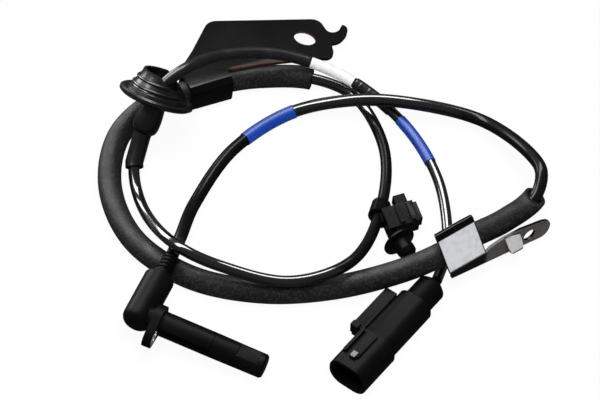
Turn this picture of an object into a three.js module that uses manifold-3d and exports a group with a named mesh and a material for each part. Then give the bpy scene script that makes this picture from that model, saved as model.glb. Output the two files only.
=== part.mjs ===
// Wheel speed sensor with its cable, protective hose, brackets, grommet, clip and connector.
// Millimetres, +Z up. The harness lies on the plane z = 0 as it is laid out on a bench.
import * as THREE from 'three';
import { mergeVertices } from 'three/addons/utils/BufferGeometryUtils.js';
import Module from 'manifold-3d';

const wasm = await Module();
wasm.setup();

// Driving dimensions
const fitGap = 0.3;

const cableRadius = 2.7;
const cableSides = 10;

const hoseOuterRadius = 5.3;
const hoseBoreRadius = 4.0;
const hoseSides = 12;

const tapeWall = 0.35;
const sleeveWall = 0.35;
const labelWall = 0.3;
const tapeEndWall = 0.4;

const sheetThickness = 1.4;
const clampGap = 0.45;
const clampCorner = 2.6;
const upperClampEnds = [-12.7, 8.3];
const lowerClampEnds = [-10, 10];
const lowerClampCorner = 0.8;
const lowerClampRise = 1.2;

const bossRadius = 6.8;
const bossLength = 20.8;
const bossDome = 6.0;
const bossEdge = 3.8;
const collarRadius = 4.6;
const collarLength = 1.8;
const reliefRadius = 3.5;
const reliefLength = 9.7;
const reliefGrooves = 4;
const noseRadius = 5.6;
const noseSeam = 34;
const noseTip = 58.5;
const flangeStart = 6.3;
const flangeThickness = 3.8;
const flangeRadius = 7.6;
const earRadius = 5.1;
const earOffset = new THREE.Vector2(-9.9, -0.6);
const bushOuterRadius = 3.9;
const bushBoreRadius = 3.1;

const housingWidth = 16.6;
const housingHeight = 13.6;
const housingCorner = 6;
const housingStart = 14;
const shroudStart = 42;
const shroudEnd = 63;
const shroudWidth = 19;
const shroudHeight = 15.2;
const shroudCorner = 6.5;
const shroudWall = 1.7;
const shroudDepth = 19;
const rearBootRadius = 6.6;
const pinRadius = 0.55;
const pinLength = 11;
const pinPitch = 4.6;

const grommetRadius = 17.3;
const grommetBore = 3.9;
const cupRadius = 9.6;
const cupHeight = 11;
const cupFootRadius = 13.6;
const discOffset = 1.2;
const bootRadius = 4.2;
const bulbRadius = 5.3;
const bootBore = 3.35;

const clipDiscRadius = 7.6;
const clipStemRadius = 4.2;
const clipStemLength = 9.4;
const clipNeckRadius = 2.2;
const clipNeckLength = 7.4;

// Materials
function finish(color, roughness, metalness = 0) {
  return new THREE.MeshStandardMaterial({ color, roughness, metalness });
}
const jacket = finish(0x0b0b0c, 0.25);
const foam = finish(0x2a2a2d, 0.85);
const blueTape = finish(0x1c3fb4, 0.3);
const vinyl = finish(0x0c0c0d, 0.3);
const paper = finish(0xf2f2f0, 0.6);
const moulding = finish(0x18181a, 0.55);
const rubber = finish(0x141415, 0.6);
const coatedSteel = finish(0x0a0a0b, 0.28, 0.2);
const platedSteel = finish(0xb9bcc0, 0.3, 0.9);
const tinnedBrass = finish(0xd2cdb0, 0.25, 0.95);

const harness = new THREE.Group();

function addPart(name, geometry, material, parent = harness) {
  const mesh = new THREE.Mesh(geometry, material);
  mesh.name = name;
  parent.add(mesh);
  return mesh;
}

// Booleans
function toSolid(geometry) {
  const bare = geometry.clone();
  bare.deleteAttribute('normal');
  bare.deleteAttribute('uv');
  const merged = mergeVertices(bare, 1e-4);
  return new wasm.Manifold(new wasm.Mesh({
    numProp: 3,
    vertProperties: Float32Array.from(merged.attributes.position.array),
    triVerts: Uint32Array.from(merged.index.array),
  }));
}

function toGeometry(solid) {
  const mesh = solid.getMesh();
  const geometry = new THREE.BufferGeometry();
  geometry.setAttribute('position', new THREE.BufferAttribute(Float32Array.from(mesh.vertProperties), 3));
  geometry.setIndex(new THREE.BufferAttribute(Uint32Array.from(mesh.triVerts), 1));
  return geometry;
}

function union(...geometries) {
  return toGeometry(geometries.map(toSolid).reduce((whole, piece) => whole.add(piece)));
}

function cut(body, ...tools) {
  return toGeometry(tools.map(toSolid).reduce((whole, tool) => whole.subtract(tool), toSolid(body)));
}

// Shapes
function box(x0, x1, y0, y1, z0, z1) {
  const geometry = new THREE.BoxGeometry(x1 - x0, y1 - y0, z1 - z0);
  return geometry.translate((x0 + x1) / 2, (y0 + y1) / 2, (z0 + z1) / 2);
}

function rod(radius, x0, x1, sides = 32) {
  const geometry = new THREE.CylinderGeometry(radius, radius, x1 - x0, sides);
  return geometry.rotateZ(-Math.PI / 2).translate((x0 + x1) / 2, 0, 0);
}

function roundedRectangle(width, height, corner) {
  const w = width / 2;
  const h = height / 2;
  const shape = new THREE.Shape();
  shape.moveTo(-w + corner, -h);
  shape.lineTo(w - corner, -h);
  shape.absarc(w - corner, -h + corner, corner, -Math.PI / 2, 0);
  shape.lineTo(w, h - corner);
  shape.absarc(w - corner, h - corner, corner, 0, Math.PI / 2);
  shape.lineTo(-w + corner, h);
  shape.absarc(-w + corner, h - corner, corner, Math.PI / 2, Math.PI);
  shape.lineTo(-w, -h + corner);
  shape.absarc(-w + corner, -h + corner, corner, Math.PI, Math.PI * 1.5);
  return shape;
}

// Extrudes a profile drawn in the Y, Z plane along +X.
function prism(shape, x0, x1, curveSegments = 5) {
  const geometry = new THREE.ExtrudeGeometry(shape, { depth: x1 - x0, bevelEnabled: false, curveSegments });
  const toYZ = new THREE.Matrix4().makeBasis(
    new THREE.Vector3(0, 1, 0),
    new THREE.Vector3(0, 0, 1),
    new THREE.Vector3(1, 0, 0),
  );
  return geometry.applyMatrix4(toYZ).translate(x0, 0, 0);
}

function ring(outer, inner, sides) {
  const shape = new THREE.Shape(circlePoints(outer, sides));
  if (inner > 0) shape.holes.push(new THREE.Path(circlePoints(inner, sides)));
  return shape;
}

function circlePoints(radius, sides) {
  return Array.from({ length: sides }, (_, i) => {
    const angle = (2 * Math.PI * (i + 0.5)) / sides;
    return new THREE.Vector2(radius * Math.cos(angle), radius * Math.sin(angle));
  });
}

// Cable route
// One cable from the sensor to the connector. The hose, tapes, sleeve, label and boot
// follow the same line, each between two stations that are counted in these points.
const route = new THREE.CatmullRomCurve3([
  [-55.9, -43.0, 15.2], [-52.6, -31.6, 13.4], [-47.0, -5.6, 5.0], [-30.1, 26.7, 3.6],
  [-4.1, 47.3, 4.7], [23.9, 48.5, 12.0], [49.6, 47.1, 11.9], [82.4, 40.2, 8.0],
  [103.6, 12.0, 17.2], [107.4, 0.8, 18.4], [104.4, -9.5, 14.8], [89.8, -23.4, 15.2],
  [75.5, -33.1, 16.8], [59.1, -44.5, 16.8], [43.5, -49.6, 13.2], [15.3, -53.6, 6.8],
  [-16.6, -55.0, 5.7], [-48.1, -47.2, 5.7], [-73.4, -26.9, 5.7], [-85.4, 4.1, 5.7],
  [-81.9, 32.2, 7.6], [-66.4, 49.0, 10.0], [-49.4, 55.9, 9.9], [-33.6, 64.1, 7.3],
  [-17.9, 68.2, 5.6], [5.2, 67.2, 5.6], [24.1, 59.2, 3.2], [37.8, 29.6, 3.2],
  [36.7, -6.0, 5.5], [21.7, -47.0, 16.0], [-4.3, -56.2, 14.7], [-33.8, -50.2, 17.4],
  [-53.0, -42.3, 21.6], [-71.7, -3.7, 4.2], [-74.7, 14.7, 8.9], [-66.9, 31.3, 24.4],
  [-62.3, 38.9, 32.2], [-53.2, 45.6, 36.0], [-35.7, 62.2, 27.5], [-7.9, 70.1, 18.8],
  [20.9, 62.8, 11.3], [45.9, 43.3, 4.2], [61.9, 9.6, 4.0], [65.4, -23.9, 3.4],
  [63.2, -37.4, 3.6], [59.6, -50.2, 6.9],
].map((point) => new THREE.Vector3(...point)));
const lastStation = route.points.length - 1;

const stations = {
  cable: [0, lastStation],
  tape1: [3.25, 4.1],
  hose: [10, 24.95],
  clip: 28.0,
  boot: [33.87, 35.45],
  bulb: [34.62, 35.45],
  sleeve: [36.45, 39.41],
  label: [39.44, 40.135],
  tapeEnd: [40.165, 40.8],
  tape2: [41.0, 41.75],
};
const halfStep = 0.5;

// A point on the faceted line, which is straight between half stations.
function onRoute(station) {
  const low = Math.floor(station / halfStep + 1e-9) * halfStep;
  const share = (station - low) / halfStep;
  const from = route.getPoint(low / lastStation);
  if (share < 1e-6) return from;
  return from.lerp(route.getPoint((low + halfStep) / lastStation), share);
}

function chord(from, to) {
  return onRoute(to).sub(onRoute(from)).normalize();
}

class Stretch extends THREE.Curve {
  constructor(from, to) {
    super();
    this.stops = [from];
    for (let s = Math.floor(from / halfStep + 1) * halfStep; s < to - 0.05; s += halfStep) {
      if (s > from + 0.05) this.stops.push(s);
    }
    this.stops.push(to);
    this.points = this.stops.map(onRoute);
    const chords = this.points.slice(1).map((point, i) => point.clone().sub(this.points[i]).normalize());
    this.tangents = this.points.map((_, i) => {
      const before = chords[Math.max(i - 1, 0)];
      const after = chords[Math.min(i, chords.length - 1)];
      return before.clone().add(after).normalize();
    });
  }

  get steps() {
    return this.stops.length - 1;
  }

  getPointAt(u) {
    return this.points[Math.round(u * this.steps)].clone();
  }

  getTangentAt(u) {
    return this.tangents[Math.round(u * this.steps)].clone();
  }
}

function sheath([from, to], outer, inner, sides) {
  const path = new Stretch(from, to);
  return new THREE.ExtrudeGeometry(ring(outer, inner, sides), {
    extrudePath: path,
    steps: path.steps,
    bevelEnabled: false,
  });
}

function snugRadius(radius, sides) {
  return (radius + fitGap) / Math.cos(Math.PI / sides);
}

function addCable() {
  addPart('sensor_cable', sheath(stations.cable, cableRadius, 0, cableSides), jacket);
}

function addHose() {
  addPart('foam_hose', sheath(stations.hose, hoseOuterRadius, hoseBoreRadius, hoseSides), foam);
}

function addWraps() {
  const bore = snugRadius(cableRadius, cableSides);
  const wraps = [
    ['marker_tape_1', stations.tape1, tapeWall, blueTape],
    ['vinyl_sleeve', stations.sleeve, sleeveWall, vinyl],
    ['blank_label', stations.label, labelWall, paper],
    ['wrapped_tape_end', stations.tapeEnd, tapeEndWall, vinyl],
    ['marker_tape_2', stations.tape2, tapeWall, blueTape],
  ];
  for (const [name, stretch, wall, material] of wraps) {
    addPart(name, sheath(stretch, bore + wall, bore, cableSides), material);
  }
}

// Sensor head
// Local X runs along the sensing nose, Y along the cable boss towards the cable, Z up.
function addSensorHead() {
  const head = new THREE.Group();
  head.position.set(-68.5, -74.0, 15.3);
  head.rotation.set(0, THREE.MathUtils.degToRad(7.9), THREE.MathUtils.degToRad(-22.2), 'ZYX');
  harness.add(head);

  const bossProfile = [new THREE.Vector2(0, -bossDome)];
  for (let i = 0; i <= 5; i += 1) {
    const angle = -Math.PI / 2 + (i / 5) * (Math.PI / 2);
    bossProfile.push(new THREE.Vector2(
      bossRadius - bossEdge + bossEdge * Math.cos(angle),
      -bossDome + bossEdge + bossEdge * Math.sin(angle),
    ));
  }
  const lip = 0.7;
  bossProfile.push(
    new THREE.Vector2(bossRadius, bossLength - lip),
    new THREE.Vector2(bossRadius - lip, bossLength),
    new THREE.Vector2(collarRadius, bossLength),
    new THREE.Vector2(collarRadius, bossLength + collarLength),
    new THREE.Vector2(0, bossLength + collarLength),
  );
  const boss = new THREE.LatheGeometry(bossProfile, 28);

  const ear = new THREE.Shape(earOutline());
  const flangeEnd = flangeStart + flangeThickness;
  const flange = prism(ear, flangeStart, flangeEnd);
  const bushSeat = rod(bushOuterRadius + fitGap, flangeStart - 1, flangeEnd + 1)
    .translate(0, earOffset.x, earOffset.y);
  const core = rod(noseRadius, 0, noseSeam);
  addPart('sensor_overmould', cut(union(boss, flange, core), bushSeat), moulding, head);

  const bush = prism(ring(bushOuterRadius, bushBoreRadius, 24), flangeStart, flangeEnd)
    .translate(0, earOffset.x, earOffset.y);
  addPart('flange_bush', bush, platedSteel, head);

  const tipEdge = 0.9;
  const tipStart = noseSeam + fitGap;
  const barrel = new THREE.LatheGeometry([
    new THREE.Vector2(0, tipStart),
    new THREE.Vector2(noseRadius, tipStart),
    new THREE.Vector2(noseRadius - 0.2, noseTip - tipEdge),
    new THREE.Vector2(noseRadius - tipEdge, noseTip),
    new THREE.Vector2(0, noseTip),
  ], 32).rotateZ(-Math.PI / 2);
  const windowLength = 13;
  const windowFloor = noseRadius - 1.1;
  const sensingWindow = box(noseTip - windowLength, noseTip - 3, -3.6, 3.6, windowFloor, noseRadius + 2);
  const sideFlat = box(noseTip - windowLength, noseTip + 1, noseRadius - 1.2, noseRadius + 2, -8, 8);
  addPart('sensing_nose', cut(barrel, sensingWindow, sideFlat), moulding, head);

  const reliefStart = bossLength + collarLength + fitGap;
  const profile = [new THREE.Vector2(0, reliefStart), new THREE.Vector2(reliefRadius + 0.4, reliefStart)];
  const pitch = reliefLength / (reliefGrooves + 1);
  const groove = 0.55;
  for (let i = 1; i <= reliefGrooves; i += 1) {
    const y = reliefStart + pitch * i;
    profile.push(
      new THREE.Vector2(reliefRadius + 0.1, y - pitch * 0.22),
      new THREE.Vector2(reliefRadius - groove, y - pitch * 0.1),
      new THREE.Vector2(reliefRadius - groove, y + pitch * 0.1),
      new THREE.Vector2(reliefRadius, y + pitch * 0.22),
    );
  }
  profile.push(
    new THREE.Vector2(reliefRadius - 0.3, reliefStart + reliefLength),
    new THREE.Vector2(0, reliefStart + reliefLength),
  );
  addPart('strain_relief', new THREE.LatheGeometry(profile, 20), rubber, head);
}

// Outline of the fixing flange: a disc round the nose joined to a smaller one round the bolt.
function earOutline() {
  const reach = earOffset.length();
  const heading = Math.atan2(earOffset.y, earOffset.x);
  const spread = Math.acos((flangeRadius - earRadius) / reach);
  const outline = [];
  const arcSteps = 10;
  for (let i = 0; i <= arcSteps; i += 1) {
    const angle = heading - spread + (2 * spread * i) / arcSteps;
    outline.push(new THREE.Vector2(
      earOffset.x + earRadius * Math.cos(angle),
      earOffset.y + earRadius * Math.sin(angle),
    ));
  }
  for (let i = 0; i <= arcSteps * 2; i += 1) {
    const angle = heading + spread + ((2 * Math.PI - 2 * spread) * i) / (arcSteps * 2);
    outline.push(new THREE.Vector2(flangeRadius * Math.cos(angle), flangeRadius * Math.sin(angle)));
  }
  return outline;
}

// Sheet metal clamps
// Profile of the strip that is crimped round the hose, in the Y, Z plane.
const clampInner = hoseOuterRadius + clampGap;
const clampOuter = clampInner + sheetThickness;

function clampBand([from, to], corner, rise, slitTool) {
  const outline = roundedRectangle(clampOuter * 2 + rise, clampOuter * 2, corner + sheetThickness);
  outline.holes.push(roundedRectangle(clampInner * 2 + rise, clampInner * 2, corner));
  const band = prism(outline, from, to, 4).translate(0, rise / 2, 0);
  return cut(band, slitTool);
}

function placedGroup(origin, xAxis, yAxis) {
  const x = new THREE.Vector3(...xAxis).normalize();
  const z = new THREE.Vector3().crossVectors(x, new THREE.Vector3(...yAxis)).normalize();
  const y = new THREE.Vector3().crossVectors(z, x);
  const group = new THREE.Group();
  group.position.set(...origin);
  group.quaternion.setFromRotationMatrix(new THREE.Matrix4().makeBasis(x, y, z));
  harness.add(group);
  return group;
}

// Upper bracket: its plate leaves the top of the clamp and lies nearly flat.
function addUpperBracket() {
  const place = placedGroup([-41.5, 60.0, 8.6], [0.879, 0.454, -0.148], [-0.462, 0.886, -0.025]);
  const [clampFrom, clampTo] = upperClampEnds;
  const slit = box(clampFrom - 1, clampTo + 1, clampInner - 2.2, clampOuter + 1, clampInner - 0.5, clampInner);
  const plate = new THREE.Shape();
  plate.moveTo(clampFrom, 2);
  plate.lineTo(clampFrom + 3.2, 10.6);
  plate.lineTo(-1.5, 17.4);
  plate.lineTo(11.6, 30.2);
  plate.quadraticCurveTo(14.2, 32.6, 17.6, 32.0);
  plate.lineTo(60.8, 17.2);
  plate.quadraticCurveTo(64.2, 16.0, 64.6, 12.4);
  plate.lineTo(64.5, 8.6);
  plate.quadraticCurveTo(64.6, 5.8, 67.2, 5.2);
  plate.quadraticCurveTo(69.6, 4.9, 71.2, 6.6);
  plate.lineTo(73.2, 8.4);
  plate.quadraticCurveTo(75.0, 7.6, 74.4, 5.0);
  plate.quadraticCurveTo(72.8, 1.6, 69.1, -0.4);
  plate.quadraticCurveTo(66.0, -2.4, 62.4, -1.4);
  plate.lineTo(60.8, -6.2);
  plate.quadraticCurveTo(59.0, -9.8, 55.6, -9.4);
  plate.lineTo(49.5, -6.6);
  plate.lineTo(38, -4.6);
  plate.lineTo(25, -1.7);
  plate.lineTo(clampTo, 0.6);
  const hole = new THREE.Path();
  hole.absellipse(52.3, 6.6, 5.4, 4.4, 0, Math.PI * 2, false, -0.97);
  plate.holes.push(hole);
  const sheet = new THREE.ExtrudeGeometry(plate, { depth: sheetThickness, bevelEnabled: false, curveSegments: 8 })
    .translate(0, 0, clampInner);
  addPart('upper_bracket', union(clampBand(upperClampEnds, clampCorner, 0, slit), sheet), coatedSteel, place);
}

// Lower bracket: its arm drops from the front edge of the clamp and stands on edge.
function addLowerBracket() {
  const place = placedGroup([67.3, -38.8, 16.8], [0.821, 0.571, 0], [-0.347, 0.499, 0.794]);
  const [clampFrom, clampTo] = lowerClampEnds;
  const slit = box(clampFrom - 1, clampTo + 1, -clampInner, -clampInner + 0.5, -clampInner - 3, -clampInner + 1.8);
  const fold = [
    box(clampFrom, clampTo, -clampOuter, -clampInner, clampInner - clampCorner, clampOuter),
    box(clampFrom, clampTo, -clampOuter, -clampInner + clampCorner, clampInner, clampOuter),
  ];
  const arm = new THREE.Shape();
  arm.moveTo(-9.8, 0.3);
  arm.lineTo(10.3, 0.3);
  arm.lineTo(12.5, 1.8);
  arm.lineTo(19, 2.9);
  arm.lineTo(29, 2.3);
  arm.lineTo(40.4, -0.6);
  arm.quadraticCurveTo(46.4, -2.6, 45.9, -7.0);
  arm.quadraticCurveTo(45.4, -12.2, 40.6, -12.2);
  arm.lineTo(32.2, -10.7);
  arm.lineTo(7, -6.9);
  arm.lineTo(-8.4, -4.6);
  const hole = new THREE.Path();
  hole.absellipse(34.2, -5.4, 3.2, 3.2, 0, Math.PI * 2, false, 0);
  arm.holes.push(hole);
  const sheet = new THREE.ExtrudeGeometry(arm, { depth: sheetThickness, bevelEnabled: false, curveSegments: 8 });
  // The arm is drawn upright, and its outer face meets the fold of the clamp.
  const tilt = Math.atan2(0.608, 0.794);
  sheet.translate(0, 0, -sheetThickness).rotateX(tilt).translate(0, -clampOuter, clampOuter);
  const tongue = new THREE.Shape();
  tongue.moveTo(19.5, 2.0);
  tongue.quadraticCurveTo(19.6, 2.8, 20.4, 2.6);
  tongue.lineTo(27.4, 0.5);
  tongue.quadraticCurveTo(28.3, 0.2, 28.1, -0.8);
  tongue.lineTo(27.2, -5.2);
  tongue.quadraticCurveTo(26.9, -6.3, 25.8, -6.3);
  tongue.lineTo(21.8, -6.2);
  tongue.quadraticCurveTo(20.8, -6.2, 20.6, -5.2);
  const tab = new THREE.ExtrudeGeometry(tongue, { depth: sheetThickness, bevelEnabled: false, curveSegments: 4 })
    .translate(0, -clampOuter, clampOuter + 0.2);
  const clamp = clampBand(lowerClampEnds, lowerClampCorner, lowerClampRise, slit);
  addPart('lower_bracket', union(clamp, ...fold, sheet, tab), coatedSteel, place);
}

// Grommet: a flanged rubber disc with an open cup above it and a bellied boot below it.
function addGrommet() {
  const place = new THREE.Group();
  const axis = new THREE.Vector3(0.33, 0.565, 0.757).normalize();
  place.position.copy(onRoute(35.5)).addScaledVector(axis, discOffset);
  place.quaternion.setFromUnitVectors(new THREE.Vector3(0, 1, 0), axis);
  place.updateMatrixWorld(true);
  const disc = new THREE.LatheGeometry([
    new THREE.Vector2(grommetBore, -3.4),
    new THREE.Vector2(8.6, -3.4),
    new THREE.Vector2(9.6, -2.0),
    new THREE.Vector2(grommetRadius - 1.2, -1.8),
    new THREE.Vector2(grommetRadius, -0.9),
    new THREE.Vector2(grommetRadius, 0.5),
    new THREE.Vector2(grommetRadius - 1.0, 1.2),
    new THREE.Vector2(cupFootRadius + 1.4, 1.1),
    new THREE.Vector2(cupFootRadius + 0.8, 0.5),
    new THREE.Vector2(cupFootRadius + 0.2, 0.6),
    new THREE.Vector2(cupFootRadius, 2.4),
    new THREE.Vector2(cupFootRadius - 0.9, 2.8),
    new THREE.Vector2(cupRadius + 0.3, cupHeight - 1.6),
    new THREE.Vector2(cupRadius, cupHeight),
    new THREE.Vector2(cupRadius - 1.3, cupHeight),
    new THREE.Vector2(cupRadius - 1.1, 1.6),
    new THREE.Vector2(grommetBore + 1.2, 0.6),
    new THREE.Vector2(grommetBore, 0.2),
    new THREE.Vector2(grommetBore, -3.4),
  ], 40);
  // The cup is open on the side that the cable leans to.
  const slant = box(-20, 20, 0, 20, -20, 20).rotateZ(-0.55).translate(3.6, 8.6, 0);
  const whole = cut(disc, slant).applyMatrix4(place.matrixWorld);
  const bulb = sheath(stations.bulb, bulbRadius, 0, hoseSides);
  const boot = sheath(stations.boot, bootRadius, 0, hoseSides);
  const way = sheath([stations.boot[0] - 0.3, 37.4], snugRadius(cableRadius + sleeveWall + fitGap, cableSides), 0, 12);
  addPart('grommet', cut(union(whole, bulb, boot), way), rubber);
}

// Connector
// Local X runs from the cable entry to the mouth, Y to the side, Z up.
function addConnector() {
  const place = placedGroup([58.5, -52.0, 6.9], [-0.61, -0.792, 0.022], [0.792, -0.61, 0]);

  const rearBoot = new THREE.LatheGeometry([
    new THREE.Vector2(0, 0),
    new THREE.Vector2(rearBootRadius - 2.6, 0),
    new THREE.Vector2(rearBootRadius, 2.2),
    new THREE.Vector2(rearBootRadius, housingStart - fitGap),
    new THREE.Vector2(0, housingStart - fitGap),
  ], 28).rotateZ(-Math.PI / 2);
  addPart('connector_rear_boot', rearBoot, rubber, place);

  const body = prism(roundedRectangle(housingWidth, housingHeight, housingCorner), housingStart, shroudStart + 1);
  const shroud = prism(roundedRectangle(shroudWidth, shroudHeight, shroudCorner), shroudStart, shroudEnd);
  const cavity = prism(
    roundedRectangle(shroudWidth - 2 * shroudWall, shroudHeight - 2 * shroudWall, shroudCorner - shroudWall),
    shroudEnd - shroudDepth,
    shroudEnd + 1,
  );
  const top = housingHeight / 2;
  const ribs = [-6.4, 0.2].map((y) => box(shroudStart + 1, 57, y - 0.7, y + 0.7, top - 3, shroudHeight / 2 + 1.0));
  const side = -housingWidth / 2;
  const railWeb = box(20, 39, side - 2.6, side + 1, -3.4, 1.1);
  const railPlate = box(20, 41, side - 8, side - 2.3, -4.6, 3.0);
  const railHook = box(39.4, 42.2, side - 8, side - 4.4, -1.2, 4.4);
  const nub = new THREE.Shape([
    new THREE.Vector2(53.6, shroudHeight / 2 - 0.4),
    new THREE.Vector2(58.4, shroudHeight / 2 - 0.4),
    new THREE.Vector2(58.4, shroudHeight / 2 + 1.5),
    new THREE.Vector2(55.0, shroudHeight / 2 + 1.5),
  ]);
  const lockRamp = new THREE.ExtrudeGeometry(nub, { depth: 2.8, bevelEnabled: false })
    .rotateX(Math.PI / 2)
    .translate(0, -0.1, 0);
  const housing = cut(union(body, shroud, ...ribs, railWeb, railPlate, railHook, lockRamp), cavity);
  addPart('connector_housing', housing, moulding, place);

  const floorX = shroudEnd - shroudDepth;
  const carrierEnd = floorX + fitGap + 4;
  const carrier = prism(
    roundedRectangle(shroudWidth - 2 * shroudWall - 1.2, shroudHeight - 2 * shroudWall - 1.2, shroudCorner - shroudWall - 0.6),
    floorX + fitGap,
    carrierEnd,
  );
  const pinSeats = [-1, 1].map((side) => rod(pinRadius + fitGap, floorX, carrierEnd + 1, 12)
    .translate(0, side * pinPitch / 2, 0));
  addPart('terminal_carrier', cut(carrier, ...pinSeats), moulding, place);
  [-1, 1].forEach((side, i) => {
    const pin = rod(pinRadius, floorX + fitGap, floorX + fitGap + pinLength, 10);
    addPart(`terminal_pin_${i + 1}`, pin.translate(0, side * pinPitch / 2, 0), tinnedBrass, place);
  });
}

// Push-in clip: a collar round the cable with a ribbed body, and an umbrella anchor.
function addClip() {
  const along = chord(stations.clip, stations.clip + halfStep);
  const collar = new THREE.Group();
  collar.position.copy(onRoute(stations.clip + 0.12));
  collar.quaternion.setFromUnitVectors(new THREE.Vector3(1, 0, 0), along);
  collar.updateMatrixWorld(true);
  const collarBore = snugRadius(cableRadius, cableSides);
  const round = rod(collarBore + 1.3, -4.2, 4.2, 20).applyMatrix4(collar.matrixWorld);
  const passage = rod(collarBore, -12, 12, 20).applyMatrix4(collar.matrixWorld);

  const place = placedGroup([44.8, -18.1, 9.8], [0.94, 0.34, 0], [-0.33, 0.93, 0.15]);
  place.updateMatrixWorld(true);
  const blocks = [
    box(-8.8, -4.5, 0.6, 5.0, -5.2, 0.6),
    box(-7.8, 6.6, -5.4, 5.2, -4.6, 4.6),
    box(-0.6, 4.8, 5, 10.0, -2.2, 3.8),
    box(5.6, 8.4, -4.2, 4.6, -3.0, 3.4),
    box(-2.2, 0.2, -4.6, 4.4, 3.6, 5.6),
    box(3.2, 5.2, -4.6, 4.4, 3.6, 5.6),
  ].map((block) => block.applyMatrix4(place.matrixWorld));

  // The anchor's own Y axis points back along its neck, which sits in a socket of the body.
  const anchor = placedGroup([43.5, -29.3, 8.2], [0.85, 0.53, 0], [-0.53, 0.85, 0]);
  anchor.updateMatrixWorld(true);
  const socket = new THREE.CylinderGeometry(clipNeckRadius + fitGap, clipNeckRadius + fitGap, clipNeckLength + fitGap, 20)
    .translate(0, (clipNeckLength + fitGap) / 2, 0)
    .applyMatrix4(anchor.matrixWorld);
  addPart('clip_body', cut(union(round, ...blocks), passage, socket), moulding);

  const umbrella = new THREE.LatheGeometry([
    new THREE.Vector2(0, -clipStemLength),
    new THREE.Vector2(clipStemRadius - 1.6, -clipStemLength),
    new THREE.Vector2(clipStemRadius - 0.3, -clipStemLength + 1.4),
    new THREE.Vector2(clipStemRadius, -clipStemLength + 3.4),
    new THREE.Vector2(clipStemRadius, -1.2),
    new THREE.Vector2(clipDiscRadius, -0.8),
    new THREE.Vector2(clipDiscRadius, 0.2),
    new THREE.Vector2(clipNeckRadius + 1.4, 1.6),
    new THREE.Vector2(clipNeckRadius, 2.4),
    new THREE.Vector2(clipNeckRadius, clipNeckLength),
    new THREE.Vector2(0, clipNeckLength),
  ], 28);
  addPart('clip_anchor', umbrella, moulding, anchor);
}

addSensorHead();
addCable();
addHose();
addWraps();
addUpperBracket();
addLowerBracket();
addGrommet();
addClip();
addConnector();

// Moves the origin to the middle of the underside of the rigid parts.
harness.position.set(-10.1, 2.1, -0.15);

export default harness;
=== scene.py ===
import math

import bmesh
import bpy
from bpy.props import FloatProperty, FloatVectorProperty, PointerProperty
from mathutils import Matrix, Vector


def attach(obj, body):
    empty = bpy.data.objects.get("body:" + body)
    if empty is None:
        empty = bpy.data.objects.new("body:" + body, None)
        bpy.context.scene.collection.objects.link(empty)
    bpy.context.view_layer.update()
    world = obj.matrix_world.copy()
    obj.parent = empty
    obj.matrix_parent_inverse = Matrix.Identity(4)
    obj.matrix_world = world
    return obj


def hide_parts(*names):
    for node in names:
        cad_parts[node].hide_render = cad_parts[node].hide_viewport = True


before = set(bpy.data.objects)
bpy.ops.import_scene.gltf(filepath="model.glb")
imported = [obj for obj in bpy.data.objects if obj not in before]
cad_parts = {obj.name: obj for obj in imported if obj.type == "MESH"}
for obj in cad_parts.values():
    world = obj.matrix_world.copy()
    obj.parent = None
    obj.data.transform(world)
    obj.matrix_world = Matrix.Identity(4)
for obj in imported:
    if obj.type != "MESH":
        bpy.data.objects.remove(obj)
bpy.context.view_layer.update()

bl_info = {
    "name": "Wheel speed sensor harness",
    "version": (1, 0, 0),
    "blender": (4, 5, 0),
    "location": "3D View > Sidebar > Harness",
    "description": "Dresses the sensor, its cable, hose, brackets, grommet, clip and connector",
    "category": "Object",
}

MM = 0.001

# Where the bench layout's own origin lies in the part's frame.
BENCH_ORIGIN = Vector((-10.1, 2.1, -0.15))

# Direction from the bench to the viewer.
TO_VIEWER = Vector((0.0, -0.616, 0.788))

# Centre line of the cable from the sensor to the connector, in millimetres on the bench.
ROUTE = [
    (-55.9, -43.0, 15.2), (-52.6, -31.6, 13.4), (-47.0, -5.6, 5.0), (-30.1, 26.7, 3.6),
    (-4.1, 47.3, 4.7), (23.9, 48.5, 12.0), (49.6, 47.1, 11.9), (82.4, 40.2, 8.0),
    (103.6, 12.0, 17.2), (107.4, 0.8, 18.4), (104.4, -9.5, 14.8), (89.8, -23.4, 15.2),
    (75.5, -33.1, 16.8), (59.1, -44.5, 16.8), (43.5, -49.6, 13.2), (15.3, -53.6, 6.8),
    (-16.6, -55.0, 5.7), (-48.1, -47.2, 5.7), (-73.4, -26.9, 5.7), (-85.4, 4.1, 5.7),
    (-81.9, 32.2, 7.6), (-66.4, 49.0, 10.0), (-49.4, 55.9, 9.9), (-33.6, 64.1, 7.3),
    (-17.9, 68.2, 5.6), (5.2, 67.2, 5.6), (24.1, 59.2, 3.2), (37.8, 29.6, 3.2),
    (36.7, -6.0, 5.5), (21.7, -47.0, 16.0), (-4.3, -56.2, 14.7), (-33.8, -50.2, 17.4),
    (-53.0, -42.3, 21.6), (-71.7, -3.7, 4.2), (-74.7, 14.7, 8.9), (-66.9, 31.3, 24.4),
    (-62.3, 38.9, 32.2), (-53.2, 45.6, 36.0), (-35.7, 62.2, 27.5), (-7.9, 70.1, 18.8),
    (20.9, 62.8, 11.3), (45.9, 43.3, 4.2), (61.9, 9.6, 4.0), (65.4, -23.9, 3.4),
    (63.2, -37.4, 3.6), (59.6, -50.2, 6.9),
]

# Stretches and places on the cable, counted in route points.
HOSE = (10.0, 25.02)
TAPE_1 = (3.22, 4.06)
TAPE_2 = (41.0, 41.75)
SLEEVE = (35.4, 39.41)
LABEL = (39.44, 40.135)
TAPE_END = (40.165, 40.8)
BELLY = (34.62, 35.3)
GROMMET_DISC = 35.5


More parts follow.
